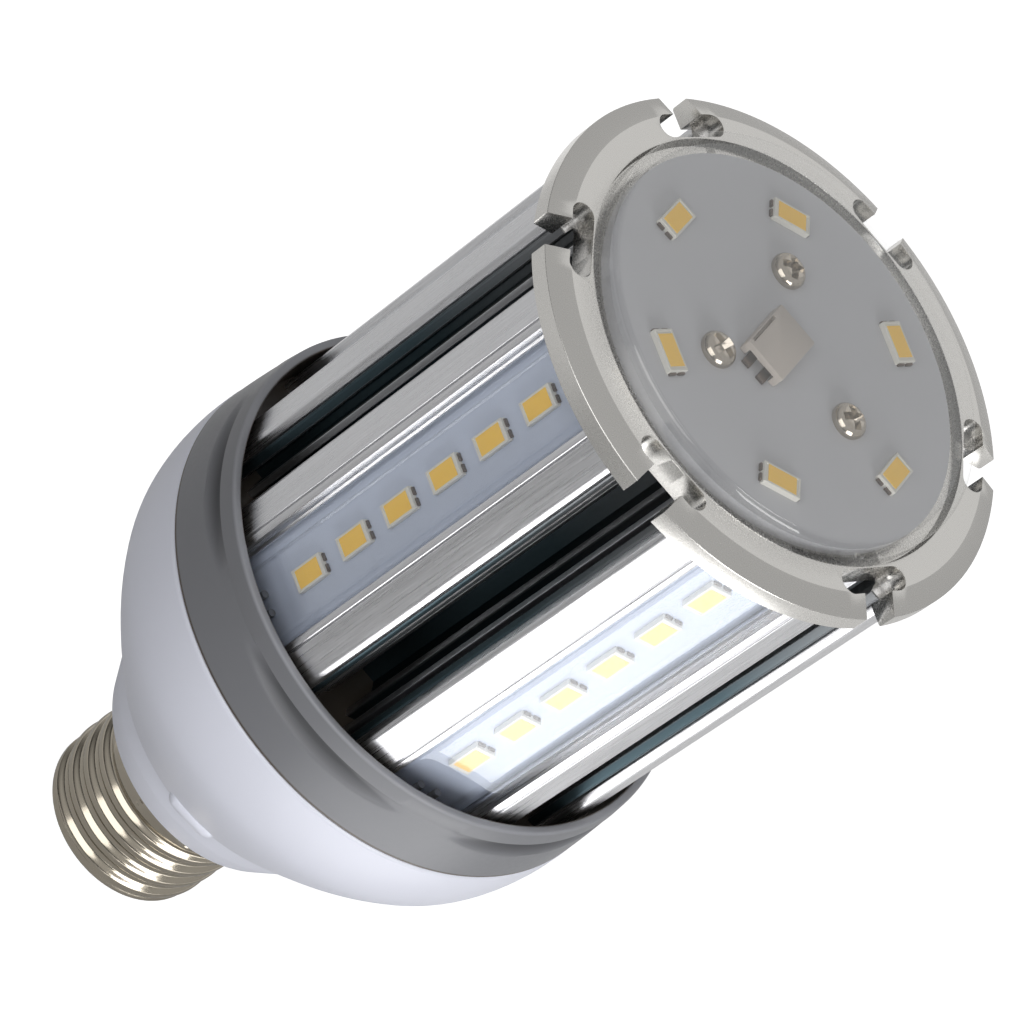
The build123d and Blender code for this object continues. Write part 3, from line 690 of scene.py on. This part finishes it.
class LAMP_OT_heat_sink(bpy.types.Operator):
    """Add the extruded heat sink"""
    bl_idname = "lamp.heat_sink"
    bl_label = "Heat sink"

    def execute(self, context):
        sizes = context.scene.lamp_body
        half = face_half()
        outer = []
        for index in range(FACES):
            outer += face_place([(-a, o) for a, o in reversed(half)] + half, index)
        bore = [(CORE_BORE * math.cos(k * math.tau / 48), CORE_BORE * math.sin(k * math.tau / 48))
                for k in range(48)]
        chamber = [(-4.6, 16.5), (4.6, 16.5), (6.3, 26.8), (-6.3, 26.8)]
        loops = [outer, bore] + [face_place(chamber, index) for index in range(FACES)]
        bm = prism(loops, COLLAR_DECK, CAP_BOTTOM)
        ease_edges(bm, sizes.edge_easing / MM, 25,
                   lambda edge: abs(edge.verts[0].co.z - edge.verts[1].co.z) > 0.05)
        finish_piece("heat_sink_extruded", bm, self.metal(sizes).material,
                     ["heat_sink"], 20)
        return {"FINISHED"}

    def metal(self, sizes):
        """Drawn metal on the faces; painted shade and a duller surface in the gaps between them,
        with painted highlights on the fin tips and painted light towards the cap.
        """
        colour = tuple(sizes.body_colour)
        finish = Finish("Extruded aluminium", colour, 0.3, 1.0)
        lines = finish.group(drawn_lines(), Scale=5000.0)["Lines"]
        reading = finish.group(face_reading())
        across = finish.maths("ABSOLUTE", reading["Across"])
        out = reading["Out"]
        # Painted shade: deep in the gaps and on the lower part of each side face.
        deep = finish.ranged(out, 0.0, 1.0, 29.0 * MM, 28.6 * MM)
        side = finish.maths("MULTIPLY", finish.ranged(across, 0.0, 1.0, 12.2 * MM, 12.35 * MM),
                            finish.ranged(out, 0.0, 1.0, 30.35 * MM, 30.1 * MM))
        # Painted highlight: the fin tips stay lighter inside the painted shade.
        fin_tip_highlight = finish.maths("MULTIPLY", finish.ranged(across, 0.0, 0.75, 10.5 * MM, 11.0 * MM), deep)
        gap = finish.maths("SUBTRACT", finish.maths("MAXIMUM", deep, side), fin_tip_highlight)
        bright = finish.tinted(lines, shade(colour, 0.88), shade(colour, 1.12))
        # Painted light: the painted shade turns to a lighter grey towards the cap.
        near_cap_light = finish.ranged(reading["Height"], 0.0, 1.0, 112 * MM, 150 * MM)
        dark = finish.tinted(near_cap_light, tuple(sizes.gap_shade_colour), shade(colour, 0.4))
        finish.feed(finish.tinted(gap, bright, dark), "Base Color")
        finish.feed(finish.ranged(gap, finish.ranged(lines, 0.22, 0.4), 0.5), "Roughness")
        finish.relief(lines, 0.00002, 0.4)
        return finish


def slot_outline():
    """Outline of one T-shaped slot, read from the lamp's axis along +X."""
    half, inner, outer, mouth_half, reach = 5.6, 29.8, 33.05, 2.475, 38.0
    radius = (outer - inner) / 2
    middle = (inner + outer) / 2
    end = half - radius
    turns = [math.pi * k / 12 for k in range(13)]
    points = [(middle - radius * math.cos(a), end + radius * math.sin(a)) for a in turns]
    points += [(outer, mouth_half), (reach, mouth_half), (reach, -mouth_half), (outer, -mouth_half)]
    points += [(middle + radius * math.cos(a), -end - radius * math.sin(a)) for a in turns]
    return points


class LAMP_OT_end_cap(bpy.types.Operator):
    """Add the end cap with its slots"""
    bl_idname = "lamp.end_cap"
    bl_label = "End cap"

    def execute(self, context):
        sizes = context.scene.lamp_body
        seat, flat, edge, wire_hole = LENS_RADIUS + 0.1, 145.4, 36.1, 4.6
        rim = rounded([(seat, flat), (33.1, flat), (edge, 144.15), (edge, CAP_BOTTOM)], 0.18, 3,
                      keep=(3,))
        outline = [(seat, LENS_SEAT)] + rim[:-1]
        outline += [(edge, CAP_BOTTOM + 0.2), (edge - 0.2, CAP_BOTTOM), (wire_hole, CAP_BOTTOM),
                    (wire_hole, LENS_SEAT)]
        bm = turned(outline, 180)
        slots = bmesh.new()
        for index in range(FACES):
            one = prism([slot_outline()], 140.0, 147.0)
            merged(slots, one, turn(gap_angle(index)))
            one.free()
        bm = cut(bm, slots)
        ease_edges(bm, 0.1, 50)
        metal = grained("Anodised cap", tuple(sizes.cap_colour), 0.27, 1.0, scale=2500.0,
                        depth=0.03, height=0.00002)
        finish_piece("end_cap_machined", bm, metal.material, ["end_cap"], 30)
        return {"FINISHED"}


class LAMP_OT_head_lens(bpy.types.Operator):
    """Add the clear head lens"""
    bl_idname = "lamp.head_lens"
    bl_label = "Head lens"

    def execute(self, context):
        height = context.scene.lamp_body.lens_height / MM
        top = LENS_SEAT + height
        inside = LENS_RADIUS - 1.5
        under = top - 0.9
        outline = [(inside, LENS_SEAT), (LENS_RADIUS, LENS_SEAT)]
        outline += rounded([(LENS_RADIUS, LENS_SEAT + 0.1), (LENS_RADIUS, top), (27.0, top)],
                           1.5, 8, keep=(0, 2))
        outline += [(0.0, top), (0.0, under)]
        outline += rounded([(27.0, under), (inside, under), (inside, LENS_SEAT + 0.2)], 0.4, 4,
                           keep=(0, 2))
        bm = turned(outline)
        lens = clear("Clear lens", srgb(250, 250, 248), 0.06, 0.6, 0.03)
        finish_piece("head_lens_clear", bm, lens.material, ["head_lens"], 40)
        return {"FINISHED"}


def cover_outline():
    """Section of a strip cover as (across, out), with a bead along each inner foot."""
    half = [(0.0, 31.85), (4.55, 31.85), (4.85, 31.55), (4.85, 31.1), (4.65, 30.9), (4.65, 30.7),
            (6.6, 30.7), (6.6, 31.3), (6.1, 31.3)]
    half += rounded([(6.1, 31.4), (6.1, 32.6), (4.4, 32.6)], 0.5, 5, keep=(0, 2))
    half += [(0.0, 32.6)]
    return half[:-1] + [(-a, o) for a, o in reversed(half[1:-1])]


class LAMP_OT_covers(bpy.types.Operator):
    """Add the clear strip covers"""
    bl_idname = "lamp.covers"
    bl_label = "Strip covers"

    def execute(self, context):
        plastic = clear("Clear cover", srgb(244, 248, 253), 0.055, 1.0, 0.05)
        for index in range(FACES):
            bm = prism([cover_outline()], 75.8, 140.8)
            bm.transform(Matrix(((0, 1, 0, 0), (1, 0, 0, 0), (0, 0, 1, 0), (0, 0, 0, 1))))
            bm.transform(turn(face_angle(index)))
            bmesh.ops.recalc_face_normals(bm, faces=bm.faces)
            number = str(index + 1)
            finish_piece("strip_cover_clear_" + number, bm, plastic.material,
                         ["strip_cover_" + number], 40)
        return {"FINISHED"}


# Boards and emitters

class LAMP_OT_boards(bpy.types.Operator):
    """Finish the boards of the strips and the head"""
    bl_idname = "lamp.boards"
    bl_label = "Boards"

    def execute(self, context):
        sizes = context.scene.lamp_light
        strip = grained("Strip board", tuple(sizes.strip_colour), 0.45, scale=2000.0, depth=0.04,
                        height=0.000005)
        head = grained("Head board", tuple(sizes.head_colour), 0.45, scale=2000.0, depth=0.03,
                       height=0.000005)
        paint(strip.material, *["strip_board_%d" % (i + 1) for i in range(FACES)])
        paint(head.material, "head_board")
        return {"FINISHED"}


def led_places():
    """Each group of emitters: its label and where its packages stand."""
    ring_radius, board_front, highest, pitch = 20.7, 30.65, 132.85, 9.26
    groups = [("head", [turn(face_angle(index)) @ shift(ring_radius, 0, HEAD_BOARD_TOP)
                        @ turn(math.pi / 2) for index in range(FACES)])]
    lean = Matrix.Rotation(math.pi / 2, 4, "Y")
    for index in range(FACES):
        groups.append((str(index + 1), [
            turn(face_angle(index)) @ shift(board_front, 0, highest - pitch * k) @ lean
            for k in range(6)]))
    return groups


def led_body():
    """One package, its window left open for the fill."""
    bm = bmesh.new()
    block(bm, (5.7, 3.1, 0.9), shift(0, 0, 0.45), 0.06, 1)
    top = max(bm.faces, key=lambda face: (round(face.calc_center_median().z, 7), face.calc_area()))
    bmesh.ops.inset_individual(bm, faces=[top], thickness=0.24 * MM, use_even_offset=True)
    bmesh.ops.inset_individual(bm, faces=[top], thickness=0.04 * MM, depth=-0.08 * MM,
                               use_even_offset=True)
    bmesh.ops.recalc_face_normals(bm, faces=bm.faces)
    return bm


class LAMP_OT_emitters(bpy.types.Operator):
    """Add the emitters' packages and leads, and finish their fills"""
    bl_idname = "lamp.emitters"
    bl_label = "Emitters"

    def execute(self, context):
        sizes = context.scene.lamp_light
        white = grained("Emitter body", srgb(218, 216, 208), 0.4, depth=0.01)
        fill = grained("Phosphor", tuple(sizes.phosphor_colour), 0.35, scale=6000.0, depth=0.06)
        tin = grained("Tinned leads", srgb(108, 96, 88), 0.35, 1.0, scale=2500.0, depth=0.3,
                      height=0.00005)
        package = led_body()
        for label, places in led_places():
            head = label == "head"
            node = "head_led_packages" if head else "strip_led_packages_" + label
            paint(fill.material, "head_led_phosphor" if head else "strip_led_phosphor_" + label)
            bodies = bmesh.new()
            leads = bmesh.new()
            for place in places:
                merged(bodies, package, place)
                for side in (-1, 1):
                    for across in (-0.75, 0.75):
                        block(leads, (0.34, 1.1, 0.5), place @ shift(side * 2.98, across, 0.25), 0.1)
            finish_piece("emitters_" + label, bodies, white.material, [node], 30)
            finish_piece("emitter_leads_" + label, leads, tin.material, (), 40)
        package.free()
        return {"FINISHED"}


# Fasteners and connector

class LAMP_OT_head_screws(bpy.types.Operator):
    """Add the three cross-recess screws of the head"""
    bl_idname = "lamp.head_screws"
    bl_label = "Head screws"

    def execute(self, context):
        head = flowing([(2.5, 0.45), (2.42, 0.85), (2.05, 1.35), (1.3, 1.7), (0.0, 1.8)], 5)
        outline = [(0.0, -13.1), (1.0, -13.1), (1.45, -12.4), (1.45, 0.0), (2.4, 0.0)] + head
        bm = turned(outline, 48)
        for angle in (0, math.pi / 2):
            arm = bmesh.new()
            verts = block(arm, (4.9, 1.35, 2.4), Matrix())
            for vert in verts:
                if vert.co.z < 0:
                    vert.co.x *= 0.45
                    vert.co.y *= 0.6
            bmesh.ops.transform(arm, matrix=shift(0, 0, 1.6) @ turn(angle), verts=verts)
            bm = cut(bm, arm)
        ease_edges(bm, 0.06, 50)
        screws = bmesh.new()
        circle_radius = 12.05
        for index, spin in zip((0, 2, 4), (0.35, 0.9, 0.1)):
            place = turn(face_angle(index)) @ shift(circle_radius, 0, HEAD_BOARD_TOP) @ turn(spin)
            merged(screws, bm, place)
        bm.free()
        steel = grained("Screw plating", srgb(184, 176, 164), 0.13, 1.0, scale=1500.0, depth=0.1)
        finish_piece("head_screws_cross", screws, steel.material,
                     ["head_screws"], 40)
        paint(steel.material, "collar_screws", "driver_screws")
        return {"FINISHED"}


class LAMP_OT_connector(bpy.types.Operator):
    """Add the plug connector of the head board"""
    bl_idname = "lamp.connector"
    bl_label = "Connector"

    def execute(self, context):
        place = turn(FIRST_FACE) @ shift(2.0, 0, HEAD_BOARD_TOP) @ turn(math.radians(30))
        bm = bmesh.new()
        block(bm, (9.8, 6.4, 2.0), shift(0, 0, 1.0), 0.22)
        mouth = bmesh.new()
        block(mouth, (2.6, 4.4, 1.2), shift(4.9, 0, 0.55))
        bm = cut(bm, mouth)
        latch = bmesh.new()
        block(latch, (6.2, 0.45, 1.6), shift(1.0, -2.8, 2.0))
        bm = cut(bm, latch)
        whole = bmesh.new()
        merged(whole, bm, place)
        bm.free()
        beige = grained("Beige moulding", srgb(190, 182, 174), 0.45, depth=0.03)
        finish_piece("connector_moulded", whole, beige.material,
                     ["head_connector"], 35)
        tabs = bmesh.new()
        for side in (-1, 1):
            block(tabs, (2.6, 1.3, 0.5), place @ shift(5.0, side * 1.3, 0.25), 0.1)
        tin = bpy.data.materials.get("Tinned leads")
        finish_piece("connector_tabs_tinned", tabs, tin, ["connector_tabs"], 40)
        return {"FINISHED"}


class LAMP_OT_inside(bpy.types.Operator):
    """Finish the driver and the leads inside the housing"""
    bl_idname = "lamp.inside"
    bl_label = "Inside"

    def execute(self, context):
        looks = {
            "Green board": (srgb(40, 110, 60), 0.4, ["driver_board"]),
            "Ferrite": (srgb(52, 52, 54), 0.6, ["transformer_core", "choke"]),
            "Winding tape": (srgb(214, 180, 70), 0.35, ["transformer_coil"]),
            "Dark sleeve": (srgb(34, 38, 60), 0.3, ["input_capacitor", "output_capacitor"]),
            "Black moulding": (srgb(30, 30, 32), 0.45, ["rectifier", "controller"]),
            "Fuse body": (srgb(214, 208, 190), 0.5, ["fuse"]),
            "Red wire": (srgb(170, 40, 36), 0.4, ["output_leads"]),
            "White wire": (srgb(220, 220, 216), 0.4, ["input_leads"]),
            "Dull wire": (srgb(120, 122, 126), 0.5, ["strip_leads"]),
        }
        for name, (colour, roughness, nodes) in looks.items():
            paint(grained(name, colour, roughness).material, *nodes)
        return {"FINISHED"}


# Stage

def area_lamp(name, place, target, size, power):
    """Square soft lamp that looks at a point. Places are in metres."""
    light = bpy.data.lights.new(name, "AREA")
    light.size = size
    light.energy = power
    lamp = bpy.data.objects.new(name, light)
    lamp.location = place
    way = Vector(target) - Vector(place)
    lamp.rotation_euler = way.to_track_quat("-Z", "Y").to_euler()
    bpy.context.scene.collection.objects.link(lamp)


class LAMP_OT_stage(bpy.types.Operator):
    """Add the floor, the lamps, the surroundings and the camera"""
    bl_idname = "lamp.stage"
    bl_label = "Stage"

    def execute(self, context):
        sizes = context.scene.lamp_stage
        bm = bmesh.new()
        bmesh.ops.create_grid(bm, x_segments=1, y_segments=1, size=3.0)
        mesh = bpy.data.meshes.new("floor")
        bm.to_mesh(mesh)
        bm.free()
        floor = bpy.data.objects.new("floor", mesh)
        context.scene.collection.objects.link(floor)
        mesh.materials.append(self.floor_look(sizes).material)

        context.scene.world = self.world_look(sizes)
        level = sizes.light_level
        middle = (0, 0, 0.09)
        area_lamp("Key", (0.957, -0.203, 0.308), middle, 0.6, 6.5 * level)
        area_lamp("Front", (0.1, -0.95, 0.75), middle, 0.9, 5 * level)
        area_lamp("Back", (-0.35, 0.85, 0.9), middle, 1.0, 0.9 * level)

        lens = bpy.data.cameras.new("Camera")
        lens.sensor_width = 36.0
        lens.lens = sizes.lens_length
        lens.clip_start = 0.01
        camera = bpy.data.objects.new("Camera", lens)
        camera.location = (0.209612, -0.522787, 0.575533)
        camera.rotation_euler = tuple(math.radians(v) for v in (34.3893, -38.1207, 64.2205))
        context.scene.collection.objects.link(camera)
        context.scene.camera = camera
        context.scene.view_settings.view_transform = "Standard"
        return {"FINISHED"}

    def world_look(self, sizes):
        """White to the camera; metal and glass mirror it pale above and dark low in front."""
        world = bpy.data.worlds.new("Surroundings")
        world.use_nodes = True
        tree = Tree(world.node_tree)
        way = tree.parts(tree.new("TexCoord").outputs["Generated"])
        high = tree.ranged(way["Z"], 0.0, 1.0, 0.15, 0.5)
        behind = tree.ranged(way["Y"], 0.0, 1.0, -0.1, 0.35)
        mirrored = tree.ranged(tree.maths("MAXIMUM", high, behind), 0.06, 0.5)
        path = tree.new("LightPath").outputs
        shiny = tree.maths("MAXIMUM", path["Is Glossy Ray"], path["Is Transmission Ray"])
        lit = tree.ranged(shiny, sizes.world_level, mirrored)
        back = tree.nodes["Background"].inputs
        back["Color"].default_value = (1.0, 1.0, 1.0, 1.0)
        tree.give(tree.ranged(path["Is Camera Ray"], lit, 1.0), back["Strength"])
        return world

    def floor_look(self, sizes):
        """White to the camera; metal and glass mirror one bright patch on it."""
        look = Finish("Pale floor", (0.5, 0.5, 0.5), 0.9)
        place = look.place()
        patch = look.new("Mapping", Location=(0.150, -0.0375, 0.0),
                         Rotation=(0.0, 0.0, math.radians(-14)), Scale=(0.08, 0.10, 1.0))
        patch.vector_type = "TEXTURE"
        look.give(place, patch.inputs["Vector"])
        far = look.new("VectorMath")
        far.operation = "LENGTH"
        look.give(patch.outputs["Vector"], far.inputs[0])
        x, y, _ = look.parts(place)
        left = look.ranged(x, 0.35, 0.05, -0.12, 0.03)
        behind = look.maths("MULTIPLY", look.ranged(y, 0.0, 0.35, 0.02, 0.07),
                            look.ranged(y, 1.0, 0.0, 0.2, 0.6))
        glow = look.ranged(far.outputs["Value"], look.maths("ADD", left, behind),
                           sizes.patch_level, 1.1, 0.75)
        path = look.new("LightPath").outputs
        shiny = look.maths("MAXIMUM", path["Is Glossy Ray"], path["Is Transmission Ray"])
        mirrored = look.maths("MULTIPLY", shiny, glow)
        look.set("Emission Color", (1.0, 1.0, 1.0, 1.0))
        look.feed(look.ranged(path["Is Camera Ray"], mirrored, 0.9), "Emission Strength")
        return look


PIECES = (
    LAMP_OT_screw_shell, LAMP_OT_contact, LAMP_OT_lower_housing, LAMP_OT_collar,
    LAMP_OT_heat_sink, LAMP_OT_end_cap, LAMP_OT_head_lens, LAMP_OT_covers, LAMP_OT_boards,
    LAMP_OT_emitters, LAMP_OT_head_screws, LAMP_OT_connector, LAMP_OT_inside, LAMP_OT_stage,
)
SETTINGS = {
    "lamp_base": LampBaseSizes, "lamp_body": LampBodySizes, "lamp_light": LampLightSizes,
    "lamp_stage": LampStageSizes,
}


class LAMP_PT_sidebar(bpy.types.Panel):
    """Lists the lamp's pieces and sizes"""
    bl_idname = "LAMP_PT_sidebar"
    bl_label = "Screw-in strip lamp"
    bl_space_type = "VIEW_3D"
    bl_region_type = "UI"
    bl_category = "Lamp"

    def draw(self, context):
        for name, group in SETTINGS.items():
            box = self.layout.box()
            for key in group.__annotations__:
                box.prop(getattr(context.scene, name), key)
        for piece in PIECES:
            self.layout.operator(piece.bl_idname)


def register():
    for group in SETTINGS.values():
        bpy.utils.register_class(group)
    for name, group in SETTINGS.items():
        setattr(bpy.types.Scene, name, bpy.props.PointerProperty(type=group))
    for piece in PIECES:
        bpy.utils.register_class(piece)
    bpy.utils.register_class(LAMP_PT_sidebar)


def unregister():
    bpy.utils.unregister_class(LAMP_PT_sidebar)
    for piece in reversed(PIECES):
        bpy.utils.unregister_class(piece)
    for name, group in SETTINGS.items():
        delattr(bpy.types.Scene, name)
        bpy.utils.unregister_class(group)


def main():
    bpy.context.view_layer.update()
    register()
    for piece in PIECES:
        getattr(bpy.ops.lamp, piece.bl_idname.split(".")[1])()


if __name__ == "__main__":
    main()
